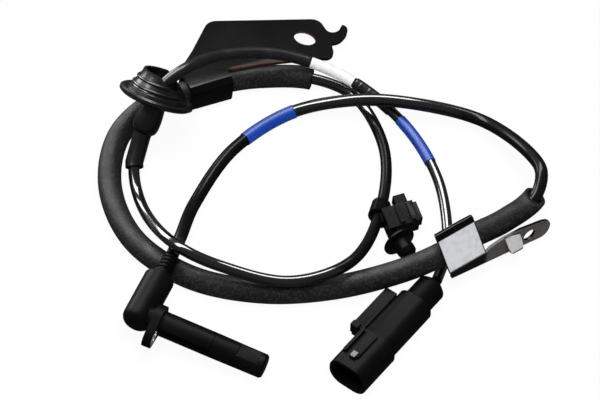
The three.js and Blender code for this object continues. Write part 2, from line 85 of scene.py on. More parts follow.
def catmull_rom(points, share):
    """A point of the centripetal curve through the points, at share 0 to 1 of its spans."""
    count = len(points)
    place = (count - 1) * share
    k = min(int(place), count - 2)
    weight = place - k
    p1, p2 = points[k], points[k + 1]
    p0 = points[k - 1] if k > 0 else p1 + (p1 - p2)
    p3 = points[k + 2] if k < count - 2 else p2 + (p2 - p1)
    d0, d1, d2 = ((b - a).length ** 0.5 for a, b in ((p0, p1), (p1, p2), (p2, p3)))
    m1 = ((p1 - p0) / d0 - (p2 - p0) / (d0 + d1) + (p2 - p1) / d1) * d1
    m2 = ((p2 - p1) / d1 - (p3 - p1) / (d1 + d2) + (p3 - p2) / d2) * d1
    t2, t3 = weight**2, weight**3
    return (
        p1 * (2 * t3 - 3 * t2 + 1)
        + m1 * (t3 - 2 * t2 + weight)
        + p2 * (3 * t2 - 2 * t3)
        + m2 * (t3 - t2)
    )


class Route:
    """The cable's centre line, sampled, with a frame at every sample that doesn't twist."""

    PER_STATION = 24

    def __init__(self, points):
        points = [(Vector(p) + BENCH_ORIGIN) * MM for p in points]
        self.last = (len(points) - 1) * self.PER_STATION
        self.points = [catmull_rom(points, i / self.last) for i in range(self.last + 1)]
        self.tangents = [
            (self.points[min(i + 1, self.last)] - self.points[max(i - 1, 0)]).normalized()
            for i in range(self.last + 1)
        ]
        side = self.tangents[0].cross(Vector((0, 0, 1))).normalized()
        self.sides = [side]
        for before, after in zip(self.tangents, self.tangents[1:]):
            side = before.rotation_difference(after) @ side
            side = (side - after * side.dot(after)).normalized()
            self.sides.append(side)
        self.lengths = [0.0]
        for a, b in zip(self.points, self.points[1:]):
            self.lengths.append(self.lengths[-1] + (b - a).length)

    def length_at(self, station):
        """Distance along the cable, in metres, to a place counted in route points."""
        place = max(0.0, min(station * self.PER_STATION, self.last))
        k = min(int(place), self.last - 1)
        return self.lengths[k] + (self.lengths[k + 1] - self.lengths[k]) * (place - k)

    def sample(self, length):
        """The point, tangent and side vector at a distance along the cable."""
        low, high = 0, self.last
        while high - low > 1:
            middle = (low + high) // 2
            if self.lengths[middle] <= length:
                low = middle
            else:
                high = middle
        weight = (length - self.lengths[low]) / (self.lengths[low + 1] - self.lengths[low])
        point = self.points[low].lerp(self.points[low + 1], weight)
        tangent = self.tangents[low].lerp(self.tangents[low + 1], weight).normalized()
        side = self.sides[low].lerp(self.sides[low + 1], weight)
        return point, tangent, (side - tangent * side.dot(tangent)).normalized()


route = Route(ROUTE)


# Pieces


def link(obj, slot=None, replaces=()):
    """Puts a piece in the scene, on the part's one body."""
    bpy.context.scene.collection.objects.link(obj)
    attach(obj, "root")
    if replaces:
        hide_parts(*replaces)
    return obj


def mesh_piece(name, bm, material, slot=None, replaces=(), smooth=40):
    """Makes a piece of a mesh, smooth but for edges sharper than an angle in degrees."""
    mesh = bpy.data.meshes.new(name)
    bmesh.ops.recalc_face_normals(bm, faces=bm.faces)
    bm.to_mesh(mesh)
    bm.free()
    mesh.shade_smooth()
    mesh.set_sharp_from_angle(angle=math.radians(smooth))
    mesh.materials.append(material)
    return link(bpy.data.objects.new(name, mesh), slot, replaces)


def dressed(node, material, slot, name, bevel, smooth=35):
    """A copy of a CAD node with its edges rounded by a radius in mm, which stands for it."""
    same_point = 2e-6
    same_plane = math.radians(1.0)
    bm = bmesh.new()
    bm.from_mesh(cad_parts[node].data)
    bmesh.ops.remove_doubles(bm, verts=bm.verts, dist=same_point)
    bmesh.ops.dissolve_limit(bm, angle_limit=same_plane, verts=bm.verts, edges=bm.edges)
    piece = mesh_piece(name, bm, material, slot, [node], smooth)
    rounding = piece.modifiers.new("rounded_edges", "BEVEL")
    rounding.width = bevel * MM
    rounding.segments = 2
    rounding.limit_method = "ANGLE"
    rounding.angle_limit = math.radians(smooth)
    rounding.use_clamp_overlap = True
    rounding.harden_normals = True
    return piece


def skin(bm, rings):
    """Joins rings of points, the last one to the first, into a closed ring-shaped surface."""
    for a, b in zip(rings, rings[1:] + rings[:1]):
        for i in range(len(a)):
            j = (i + 1) % len(a)
            bm.faces.new((a[i], a[j], b[j], b[i]))


def along_cable(bm, profile, sides=40):
    """Sweeps a closed profile of (distance along the cable, radius) pairs round the route."""
    rings = []
    for length, radius in profile:
        point, tangent, side = route.sample(max(0.0, min(length, route.lengths[-1])))
        up = tangent.cross(side)
        angles = (2 * math.pi * i / sides for i in range(sides))
        rings.append([
            bm.verts.new(point + (side * math.cos(angle) + up * math.sin(angle)) * radius)
            for angle in angles
        ])
    skin(bm, rings)


def stretch_profile(stations, outer, inner, edge, step):
    """Closed profile of a tube between two stations; radii, edge rounding and step in mm."""
    start, end = (route.length_at(s) for s in stations)
    outer, inner, edge, step = (value * MM for value in (outer, inner, edge, step))
    count = max(2, round((end - start) / step))
    tip = 0.3 * edge
    profile = [(start, inner), (start, outer - edge), (start + tip, outer - tip)]
    for i in range(count + 1):
        profile.append((start + edge + (end - start - 2 * edge) * i / count, outer))
    profile += [(end - tip, outer - tip), (end, outer - edge)]
    for i in range(count):
        profile.append((end - (end - start) * i / count, inner))
    return profile


def lathe(bm, profile, matrix, sides=48):
    """Turns a closed profile of (radius, height) pairs in mm round the local Z axis."""
    angles = [2 * math.pi * i / sides for i in range(sides)]
    skin(bm, [
        [
            bm.verts.new(
                matrix @ (Vector((radius * math.cos(a), radius * math.sin(a), height)) * MM)
            )
            for a in angles
        ]
        for radius, height in profile
    ])


def bench_frame(origin, x_axis, y_axis):
    """Matrix of a local frame given on the bench, in metres in the part's frame."""
    x = Vector(x_axis).normalized()
    z = x.cross(Vector(y_axis)).normalized()
    y = z.cross(x)
    matrix = Matrix((x, y, z)).transposed().to_4x4()
    matrix.translation = (Vector(origin) + BENCH_ORIGIN) * MM
    return matrix


def reshaped(piece, matrix, rule):
    """Moves the points of a piece by a rule that works in millimetres in a local frame."""
    inverse = matrix.inverted()
    for vertex in piece.data.vertices:
        vertex.co = matrix @ (rule(inverse @ vertex.co / MM) * MM)


# Shader maths


class Socket:
    """A node socket; arithmetic on it adds Math nodes to its tree."""

    def __init__(self, tree, link):
        self.tree = tree
        self.link = link

    def _math(self, operation, *values):
        return self.tree.node("ShaderNodeMath", {"operation": operation}, dict(enumerate(values)))

    def __add__(self, other):
        return self._math("ADD", self, other)

    def __radd__(self, other):
        return self._math("ADD", other, self)

    def __sub__(self, other):
        return self._math("SUBTRACT", self, other)

    def __rsub__(self, other):
        return self._math("SUBTRACT", other, self)

    def __mul__(self, other):
        return self._math("MULTIPLY", self, other)

    def __truediv__(self, other):
        return self._math("DIVIDE", self, other)

    def max(self, other):
        return self._math("MAXIMUM", self, other)

    def sine(self):
        return self._math("SINE", self)

    def ramp(self, low, high, to_low=0.0, to_high=1.0):
        """Smooth step of this value from low to high."""
        return self.tree.node(
            "ShaderNodeMapRange",
            {"interpolation_type": "SMOOTHSTEP"},
            {"Value": self, "From Min": low, "From Max": high, "To Min": to_low, "To Max": to_high},
        )


class Shading:
    """A shader tree being written; its nodes are made by one method."""

    def __init__(self, tree, output):
        self.nodes = tree.nodes
        self.links = tree.links
        self.nodes.clear()
        self.output = self.nodes.new(output)

    def node(self, kind, settings=None, values=None, output=0):
        made = self.nodes.new(kind)
        for key, value in (settings or {}).items():
            setattr(made, key, value)
        for key, value in (values or {}).items():
            if isinstance(value, Socket):
                self.links.new(value.link, made.inputs[key])
            else:
                made.inputs[key].default_value = value
        return Socket(self, made.outputs[output])

    def close(self, shader):
        self.links.new(shader.link, self.output.inputs["Surface"])


class Finish(Shading):
    """A material being written."""

    def __init__(self, name):
        self.material = bpy.data.materials.new(name)
        self.material.use_nodes = True
        super().__init__(self.material.node_tree, "ShaderNodeOutputMaterial")

    def position(self):
        return self.node("ShaderNodeTexCoord", output="Object")

    def noise(self, scale, detail=3.0, roughness=0.5):
        return self.node(
            "ShaderNodeTexNoise",
            values={
                "Vector": self.position(),
                "Scale": scale,
                "Detail": detail,
                "Roughness": roughness,
            },
        )

    def along(self, axis):
        """Distance in metres along an axis of the part's frame."""
        return self.node(
            "ShaderNodeVectorMath",
            {"operation": "DOT_PRODUCT"},
            {0: self.position(), 1: tuple(axis)},
            output="Value",
        )

    def local_axes(self, matrix):
        """Millimetre coordinates of the shaded point in a local frame."""
        centre = matrix.translation
        axes = (matrix.col[i].to_3d() for i in range(3))
        return [(self.along(axis) - centre.dot(axis)) / MM for axis in axes]

    def blend(self, factor, first, second):
        """Mixes two colours."""
        first, second = (
            color if isinstance(color, Socket) else (*color[:3], 1.0) for color in (first, second)
        )
        return self.node(
            "ShaderNodeMix", {"data_type": "RGBA"}, {0: factor, 6: first, 7: second}, output=2
        )

    def bump(self, height, strength, distance):
        return self.node(
            "ShaderNodeBump",
            values={"Height": height, "Strength": strength, "Distance": distance},
        )

    def surface(self, **values):
        """Closes the material with one Principled shader."""
        settings = {}
        for key, value in values.items():
            if key == "base_color" and not isinstance(value, Socket):
                value = (*value[:3], 1.0)
            settings[key.replace("_", " ").title().replace("Ior", "IOR")] = value
        self.close(self.node("ShaderNodeBsdfPrincipled", values=settings))
        return self.material


def within(value, low, high, soft=0.2):
    """Mask that is 1 between two values, with soft borders."""
    return value.ramp(low - soft, low + soft) * value.ramp(high - soft, high + soft, 1.0, 0.0)


def cable_jacket(color):
    """Extruded jacket with rubbed patches, glossy but for three matt stretches."""
    finish = Finish("cable_jacket")
    rubbed = finish.noise(90.0, 2.0).ramp(0.4, 0.75)
    rubbed_color = (0.006, 0.006, 0.0065)
    x, y, _ = finish.local_axes(bench_frame((0, 0, 0), (1, 0, 0), (0, 1, 0)))
    by_sensor = within(x, -56.5, -9.0, 1.0) * within(y, -34.0, 46.0, 1.0)
    by_clip = within(x, 12.0, 42.0, 1.0) * within(y, -52.0, 40.0, 1.0)
    by_hose = within(x, 72.0, 112.0, 4.0) * within(y, -34.0, 44.0, 1.0)
    return finish.surface(
        base_color=finish.blend(rubbed * 0.4, color, rubbed_color),
        roughness=0.45 + rubbed * 0.1,
        specular_ior_level=0.03,
        coat_weight=1.0 - by_sensor.max(by_clip) * 0.93 - by_hose * 0.85,
        coat_roughness=0.13,
        coat_ior=1.6,
    )


def foam_rubber(color):
    """Matt closed-cell hose rubber with speckle, rubbed paler in patches."""
    finish = Finish("foam_rubber")
    cells = finish.noise(900.0, 3.0, 0.65)
    patches = finish.noise(120.0, 3.0).ramp(0.35, 0.7)
    speck = cells.ramp(0.48, 0.62)
    pale = [c * 2.4 + 0.009 for c in color]
    return finish.surface(
        base_color=finish.blend(speck * 0.8 + patches * 0.2, color, pale),
        roughness=0.55 - patches * 0.15 + cells * 0.1,
        specular_ior_level=0.16,
        normal=finish.bump(cells, 0.5, 0.0004),
    )


def marker_tape(color):
    """Glossy coloured tape with a few wrinkles along its wraps."""
    finish = Finish("marker_tape")
    wrinkle = finish.noise(240.0, 3.0)
    patch = finish.noise(55.0, 2.0)
    deep = [c * 0.55 for c in color]
    return finish.surface(
        base_color=finish.blend(patch.ramp(0.35, 0.7) * 0.4, color, deep),
        roughness=0.4 + wrinkle * 0.08,
        specular_ior_level=0.3,
        normal=finish.bump(wrinkle, 0.03, 0.0003),
    )


def black_vinyl(name, color, wraps=0.0):
    """Glossy thin vinyl; wraps is the height of the wound layers against its wrinkles."""
    finish = Finish(name)
    wrinkle = finish.noise(200.0, 3.0)
    scuffed = (0.03, 0.03, 0.032)
    height, relief = wrinkle, 0.06
    if wraps:
        tape_slant = finish.along((0.75, -0.55, -0.36))
        layers = (tape_slant * 1300.0 + wrinkle * 2.0).sine()
        height, relief = wrinkle + layers.ramp(0.2, 0.9) * wraps, 0.3
    return finish.surface(
        base_color=finish.blend(wrinkle.ramp(0.5, 0.8) * 0.4, color, scuffed),
        roughness=0.26 + wrinkle * 0.12,
        specular_ior_level=0.35,
        normal=finish.bump(height, relief, 0.0003),
    )


def bare_label(color):
    """White label film, faintly mottled."""
    finish = Finish("bare_label")
    mottle = finish.noise(300.0, 4.0)
    shaded = [c * 0.9 for c in color]
    return finish.surface(
        base_color=finish.blend(mottle.ramp(0.45, 0.75) * 0.5, color, shaded),
        roughness=0.45 + mottle * 0.1,
        normal=finish.bump(mottle, 0.1, 0.0002),
    )


def moulded_plastic(name, color, roughness, grain=1400.0, depth=0.25, shine=0.04, patches=()):
    """Black moulding with a fine grain and flow marks; each patch is a mask and its colour."""
    finish = Finish(name)
    fine = finish.noise(grain, 3.0, 0.6)
    flow = finish.noise(70.0, 3.0)
    pale = [c * 1.8 + 0.001 for c in color]
    base = finish.blend(flow.ramp(0.4, 0.75) * 0.5, color, pale)
    for mask, tone in patches:
        base = finish.blend(mask(finish), base, tone)
    return finish.surface(
        base_color=base,
        roughness=roughness + flow * 0.12 - 0.06 + fine * 0.06,
        specular_ior_level=shine,
        normal=finish.bump(fine, depth, 0.0002),
    )


def coated_sheet(name, color, patches):
    """Glossy dip-coated sheet steel; each patch is a mask, its colour and its roughness, and paints
    a highlight or reflection.
    """
    finish = Finish(name)
    orange_peel = finish.noise(260.0, 2.0)
    cloud = finish.noise(45.0, 3.0)
    base = finish.blend(cloud.ramp(0.42, 0.7) * 0.5, color, [c * 1.8 for c in color])
    roughness = 0.14 + cloud * 0.1
    for mask, tone, dullness in patches:
        share = mask(finish)
        streaks = finish.noise(400.0, 3.0).ramp(0.4, 0.7)
        base = finish.blend(share, base, finish.blend(streaks, tone, [c * 0.86 for c in tone]))
        roughness = roughness * (1.0 - share) + share * dullness
    return finish.surface(
        base_color=base,
        roughness=roughness,
        specular_ior_level=0.12,
        normal=finish.bump(orange_peel, 0.08, 0.0003),
    )


def plated_metal(name, color, roughness):
    """Bright plated metal with fine tool marks."""
    finish = Finish(name)
    marks = finish.noise(700.0, 3.0)
    return finish.surface(
        base_color=finish.blend(marks.ramp(0.4, 0.7) * 0.5, color, [c * 0.7 for c in color]),
        metallic=1.0,
        roughness=roughness + marks * 0.1,
        normal=finish.bump(marks, 0.1, 0.0001),
    )


# Settings


def length_setting(name, description, default):
    """A length in millimetres."""
    return FloatProperty(
        name=name, description=description, default=default, min=0.1, max=60.0, unit="NONE"
    )


def color_setting(name, description, default):
    """A colour as three linear shares from 0 to 1."""
    return FloatVectorProperty(
        name=name, description=description, default=default, subtype="COLOR", min=0.0, max=1.0
    )


class CableSettings(bpy.types.PropertyGroup):
    """Radii of the cable's three stretches and its colour."""

    sensor_radius: length_setting("Sensor end radius", "Radius before the hose, in mm", 2.9)
    middle_radius: length_setting("Middle radius", "Radius between hose and grommet, in mm", 2.55)
    plug_radius: length_setting("Connector end radius", "Radius after the grommet, in mm", 2.4)
    jacket: color_setting("Jacket", "Colour of the cable jacket", (0.003, 0.003, 0.0035))


class HoseSettings(bpy.types.PropertyGroup):
    """Size and colour of the foam rubber hose."""

    outer_radius: length_setting("Outer radius", "Outer radius of the hose, in mm", 5.35)
    bore_radius: length_setting("Bore radius", "Radius of the hose's bore, in mm", 4.0)
    rubber: color_setting("Rubber", "Colour of the hose", (0.0085, 0.008, 0.0083))


class WrapSettings(bpy.types.PropertyGroup):
    """Colours of what is wound or pushed on the cable."""

    tape: color_setting("Marker tape", "Colour of the marker tapes", (0.0015, 0.055, 0.42))
    label: color_setting("Label", "Colour of the bare label", (0.95, 0.95, 0.94))
    vinyl: color_setting("Vinyl", "Colour of the sleeve and the wound tape", (0.007, 0.007, 0.008))


class HardwareSettings(bpy.types.PropertyGroup):
    """Colours of the mouldings and the sheet metal."""

    plastic: color_setting(
        "Mouldings", "Colour of sensor, clip and connector", (0.0025, 0.0025, 0.003)
    )
    rubber: color_setting("Rubber", "Colour of grommet and boots", (0.0022, 0.0022, 0.0025))
    coating: color_setting("Coating", "Colour of the bracket coating", (0.0018, 0.0016, 0.0016))
    plating: color_setting("Plating", "Colour of the flange's bush", (0.75, 0.75, 0.76))


class StageSettings(bpy.types.PropertyGroup):
    """Floor, light and camera."""

    floor: color_setting("Floor", "Colour of the floor", (0.93, 0.93, 0.93))
    distance: FloatProperty(
        name="Camera distance", description="Camera to the bench", default=1.2, unit="LENGTH"
    )
    elevation: FloatProperty(
        name="Camera elevation",
        description="Angle of the view above the bench",
        default=math.radians(52.0),
        subtype="ANGLE",
    )


# Steps


class HARNESS_OT_stage(bpy.types.Operator):
    """Set up the floor, the soft lights and the camera"""

    bl_idname = "harness.stage"
    bl_label = "Stage"

    # Name, place, width and height in metres, power in watts, and whether it lights the gloss
    # alone or the matt shading alone.
    lamps = [
        ("fill_softbox", (0.1, -0.3, 1.5), 0.9, 0.9, 22.0, False),
        ("shine_softbox", (-0.36, 0.56, 1.25), 1.75, 0.5, 62.0, True),
        ("low_softbox", (-0.75, 0.85, 0.32), 0.7, 0.45, 18.0, True),
    ]
    # The floor in metres, and how bright the floor and the sky are.
    floor_half_width = 6.0
    floor_drop = 0.0002
    floor_glow = 0.95
    floor_in_gloss = 0.1
    sky_strength = 0.22

    def execute(self, context):
        scene = context.scene
        settings = scene.harness_stage
        scene.view_settings.view_transform = "Standard"
        target = BENCH_ORIGIN * MM
        self.camera(scene, settings, target)
        self.floor(scene, settings)
        self.world(scene)
        for lamp in self.lamps:
            self.lamp(scene, target, *lamp)
        return {"FINISHED"}

    def camera(self, scene, settings, target):
        """A long lens that looks down on the middle of the bench."""
        back = Vector((0, -math.cos(settings.elevation), math.sin(settings.elevation)))
        data = bpy.data.cameras.new("camera")
        data.sensor_width = 36.0
        data.sensor_fit = "HORIZONTAL"
        data.lens = 160.0
        data.clip_end = 20.0
        camera = bpy.data.objects.new("camera", data)
        camera.location = target + back * settings.distance
        camera.rotation_euler = (math.pi / 2 - settings.elevation, 0, 0)
        scene.collection.objects.link(camera)
        scene.camera = camera

    def floor(self, scene, settings):
        """A matt floor that the camera sees as nearly white and the gloss as dark."""
        bm = bmesh.new()
        bmesh.ops.create_grid(bm, x_segments=1, y_segments=1, size=self.floor_half_width)
        mesh = bpy.data.meshes.new("floor")
        bm.to_mesh(mesh)
        bm.free()
        floor = bpy.data.objects.new("floor", mesh)
        floor.location.z = -self.floor_drop
        scene.collection.objects.link(floor)
        finish = Finish("floor_white")
        seen = finish.node("ShaderNodeLightPath", output="Is Camera Ray")
        mirrored = finish.node("ShaderNodeLightPath", output="Is Glossy Ray")
        matt = finish.node("ShaderNodeBsdfDiffuse", values={"Color": (*settings.floor[:3], 1.0)})
        glow, dim = (
            finish.node("ShaderNodeEmission", values={"Color": (1, 1, 1, 1), "Strength": strength})
            for strength in (1.0, self.floor_in_gloss)
        )
        shown = finish.node(
            "ShaderNodeMixShader", values={0: seen * self.floor_glow, 1: matt, 2: glow}
        )
        finish.close(finish.node("ShaderNodeMixShader", values={0: mirrored, 1: shown, 2: dim}))
        mesh.materials.append(finish.material)

    def world(self, scene):
        """A weak even sky that the camera sees as plain white."""
        world = bpy.data.worlds.new("studio")
        world.use_nodes = True
        scene.world = world
        sky = Shading(world.node_tree, "ShaderNodeOutputWorld")
        seen = sky.node("ShaderNodeLightPath", output="Is Camera Ray")
        light = sky.node(
            "ShaderNodeBackground",
            values={"Color": (0.97, 0.98, 1.0, 1.0), "Strength": self.sky_strength},
        )
        shown = sky.node("ShaderNodeBackground", values={"Color": (1.0, 1.0, 1.0, 1.0)})
        sky.close(sky.node("ShaderNodeMixShader", values={0: seen, 1: light, 2: shown}))

    def lamp(self, scene, target, name, location, width, height, power, gloss):
        """A soft box that faces the bench."""
        data = bpy.data.lights.new(name, "AREA")
        data.shape = "RECTANGLE"
        data.size = width
        data.size_y = height
        data.energy = power
        lamp = bpy.data.objects.new(name, data)
        lamp.location = location
        lamp.visible_diffuse = not gloss
        lamp.visible_glossy = gloss
        lamp.rotation_euler = (target - lamp.location).to_track_quat("-Z", "Y").to_euler()
        scene.collection.objects.link(lamp)


class HARNESS_OT_cable(bpy.types.Operator):
    """Lay the cable from the sensor to the connector"""

    bl_idname = "harness.cable"
    bl_label = "Cable"

    # Places on the cable where its thickness starts and ends to shrink, and the grommet's.
    shrink_start = 14
    shrink_end = 22
    at_grommet = 35

    def execute(self, context):
        settings = context.scene.harness_cable
        curve = bpy.data.curves.new("signal_cable", "CURVE")
        curve.dimensions = "3D"
        curve.bevel_depth = settings.middle_radius * MM
        curve.bevel_resolution = 7
        curve.use_fill_caps = True
        spline = curve.splines.new("POLY")
        spline.points.add(route.last)
        for k, point in enumerate(spline.points):
            point.co = (*route.points[k], 1.0)
            point.radius = self.radius(settings, k / route.PER_STATION) / settings.middle_radius
        spline.use_smooth = True
        curve.materials.append(cable_jacket(settings.jacket[:]))
        cable = link(bpy.data.objects.new("signal_cable", curve), "jacket", ["sensor_cable"])
        return {"FINISHED"}

    def radius(self, settings, station):
        """The cable's radius in mm at a place counted in route points."""
        if station < self.shrink_start:
            return settings.sensor_radius
        if station < self.shrink_end:
            share = (station - self.shrink_start) / (self.shrink_end - self.shrink_start)
            return settings.sensor_radius * (1 - share) + settings.middle_radius * share
        return settings.middle_radius if station < self.at_grommet else settings.plug_radius


class HARNESS_OT_wraps(bpy.types.Operator):
    """Put the marker tapes, sleeve, label and wound tape on the cable"""

    bl_idname = "harness.wraps"
    bl_label = "Tapes, sleeve and label"

    # Air under each wrap, rounding of its ends and step of its sweep, in mm.
    air_gap = 0.03
    edge = 0.12
    step = 0.7

    def execute(self, context):
        cable = context.scene.harness_cable
        colors = context.scene.harness_wraps
        tape = marker_tape(colors.tape[:])
        vinyl = black_vinyl("sleeve_vinyl", colors.vinyl[:])
        wound = black_vinyl("wound_vinyl", colors.vinyl[:], wraps=1.5)
        label = bare_label(colors.label[:])
        near, far = cable.sensor_radius, cable.plug_radius
        rows = [
            ("marker_tape_near", TAPE_1, near, 0.3, tape, "blue_tape", "marker_tape_1"),
            ("marker_tape_far", TAPE_2, far, 0.3, tape, "blue_tape", "marker_tape_2"),
            ("vinyl_sleeve_tube", SLEEVE, far, 0.32, vinyl, "vinyl", "vinyl_sleeve"),
            ("bare_label_wrap", LABEL, far, 0.24, label, "label", "blank_label"),
            ("wound_tape_end", TAPE_END, far, 0.42, wound, "vinyl", "wrapped_tape_end"),
        ]
        for name, stations, radius, wall, material, slot, node in rows:
            bm = bmesh.new()
            outer, inner = radius + wall, radius + self.air_gap
            along_cable(bm, stretch_profile(stations, outer, inner, self.edge, self.step))
            mesh_piece(name, bm, material, slot, [node], smooth=50)
        return {"FINISHED"}


class HARNESS_OT_hose(bpy.types.Operator):
    """Make the foam rubber hose with its cut ends"""

    bl_idname = "harness.hose"
    bl_label = "Hose"

    # Rounding of the hose's ends and step of its sweep, in mm, and points in a ring.
    edge = 0.5
    step = 2.0
    sides = 56

    def execute(self, context):
        settings = context.scene.harness_hose
        bm = bmesh.new()
        profile = stretch_profile(
            HOSE, settings.outer_radius, settings.bore_radius, self.edge, self.step
        )
        along_cable(bm, profile, self.sides)
        self.slant_cut(bm, route.length_at(HOSE[0]))
        mesh_piece("protective_hose", bm, foam_rubber(settings.rubber[:]), "foam", ["foam_hose"])
        return {"FINISHED"}

    def slant_cut(self, bm, length, slope=1.1, reach=12.0):
        """Cuts the hose's right end at a slant, so that its end face looks up to the viewer."""
        end, inward, _ = route.sample(length)
        near = (TO_VIEWER - inward * TO_VIEWER.dot(inward)).normalized()
        for vertex in bm.verts:
            offset = vertex.co - end
            depth = offset.dot(inward) / MM
            if offset.length < 2 * reach * MM and depth < reach:
                vertex.co += inward * near.dot(offset) * slope * (1 - max(depth, 0.0) / reach)


class HARNESS_OT_sensor(bpy.types.Operator):
    """Finish the sensor head, its bush, its nose and its strain relief"""

    bl_idname = "harness.sensor"
    bl_label = "Sensor head"

    # The head on the bench, and the part of it that is drawn in, in mm.
    centre = Vector((-68.5, -74.0, 15.3))
    heading = math.radians(-22.2)
    dip = math.radians(7.9)
    ear_start = Vector((6.0, -5.0, 0.0))
    ear_shift = 2.2

    def execute(self, context):
        colors = context.scene.harness_hardware
        plastic = moulded_plastic("sensor_plastic", colors.plastic[:], 0.42)
        rubber = moulded_plastic("relief_rubber", colors.rubber[:], 0.4)
        metal = plated_metal("bush_metal", colors.plating[:], 0.28)
        head = dressed("sensor_overmould", plastic, "moulding", "sensor_moulding", 0.35)
        dressed("sensing_nose", plastic, "moulding", "sensor_tip", 0.3)
        dressed("strain_relief", rubber, "rubber", "relief_sleeve", 0.12)
        bush = dressed("flange_bush", metal, "bush_metal", "bolt_bush", 0.2)
        # The head's own frame: X along the nose, Y towards the cable.
        place = Matrix.Rotation(self.heading, 4, "Z") @ Matrix.Rotation(self.dip, 4, "Y")
        place.translation = (self.centre + BENCH_ORIGIN) * MM
        for piece in (head, bush):
            reshaped(piece, place, self.drawn_in)
        return {"FINISHED"}

    def drawn_in(self, point):
        """Brings the flange's ear closer to the boss."""
        if point.y < self.ear_start.y and point.x > self.ear_start.x:
            point.y += self.ear_shift
        return point


class HARNESS_OT_brackets(bpy.types.Operator):
    """Coat the two sheet metal brackets"""

    bl_idname = "harness.brackets"
    bl_label = "Brackets"

    upper_frame = bench_frame((-41.5, 60.0, 8.6), (0.879, 0.454, -0.148), (-0.462, 0.886, -0.025))
    lower_frame = bench_frame((67.3, -38.8, 16.8), (0.821, 0.571, 0), (-0.347, 0.499, 0.794))
    # The lower clamp's outer radius, how far its parts are moved and where they start, in mm.
    clamp_outer = 7.15
    front_raised = 3.9
    back_lowered = 1.6
    left_cut_back = 6.0
    clamp_top = 5.0
    clamp_left = -9.0
    # Brownish painted highlight along the upper plate's lower edge.
    edge_highlight_brown = (0.11, 0.055, 0.035)
    # Brownish painted highlight on the upper plate's hole rim.
    hole_rim_highlight_brown = (0.16, 0.06, 0.035)
    # Painted grey reflection on the lower clamp's arm face.
    arm_reflection_gray = (0.09, 0.085, 0.08)
    # Painted pale reflection on the lower clamp's tab.
    tab_reflection_gray = (0.5, 0.5, 0.5)
    # Painted silver reflection on the lower clamp's front face.
    front_reflection_silver = (0.62, 0.63, 0.65)

    def execute(self, context):
        color = context.scene.harness_hardware.coating[:]
        # The upper plate's patches paint brownish highlights; the lower clamp's paint grey, pale
        # and silver reflections.
        upper = coated_sheet(
            "upper_coating",
            color,
            [(self.edge_highlight, self.edge_highlight_brown, 0.4), (self.hole_rim_highlight, self.hole_rim_highlight_brown, 0.4)],
        )
        lower = coated_sheet(
            "lower_coating",
            color,
            [
                (self.arm_reflection, self.arm_reflection_gray, 0.35),
                (self.tab_reflection, self.tab_reflection_gray, 0.4),
                (self.front_reflection, self.front_reflection_silver, 0.45),
            ],
        )
        dressed("upper_bracket", upper, "coated_steel", "upper_clamp_plate", 0.3)
        clamp = dressed("lower_bracket", lower, "coated_steel", "lower_clamp_plate", 0.3)
        reshaped(clamp, self.lower_frame, self.leaned)
        return {"FINISHED"}

    def leaned(self, point):
        """Raises the clamp's front above its back and cuts its left end back behind the front."""
        depth = (self.clamp_outer - point.z) / (2 * self.clamp_outer)
        if point.y > self.clamp_top:
            point.y += self.front_raised - (self.front_raised + self.back_lowered) * depth
        if point.x < self.clamp_left:
            point.x += self.left_cut_back * depth
        return point

    def front_reflection(self, finish):
        """Painted silver reflection on the lower clamp's broad front face, clear of its edges."""
        x, y, z = finish.local_axes(self.lower_frame)
        return within(x, -9.5, 9.5) * within(y, -6.6, 8.3) * z.ramp(6.7, 6.95)

    def tab_reflection(self, finish):
        """Painted pale reflection on the face of the lanced tab."""
        x, y, z = finish.local_axes(self.lower_frame)
        return within(x, 20.2, 27.6) * within(y, -12.8, -5.4) * z.ramp(8.4, 8.6)

    def arm_reflection(self, finish):
        """Painted grey reflection on the arm's outer face, which stands upright below the fold."""
        x, y, z = finish.local_axes(self.lower_frame)
        return x.ramp(9.0, 12.0) * (y * -0.608 + z * 0.794).ramp(9.7, 9.95)

    def edge_highlight(self, finish):
        """Brownish painted highlight along the lower edge of the upper plate."""
        x, y, _ = finish.local_axes(self.upper_frame)
        return within(x, 10.0, 42.0, 2.0) * (y + x * 0.06).ramp(1.0, 3.0, 1.0, 0.0)

    def hole_rim_highlight(self, finish):
        """Brownish painted highlight on the bare wall of the oval hole."""
        x, y, z = finish.local_axes(self.upper_frame)
        return within(x, 46.5, 58.0) * within(y, 1.0, 12.2) * z.ramp(6.85, 7.0, 1.0, 0.0)


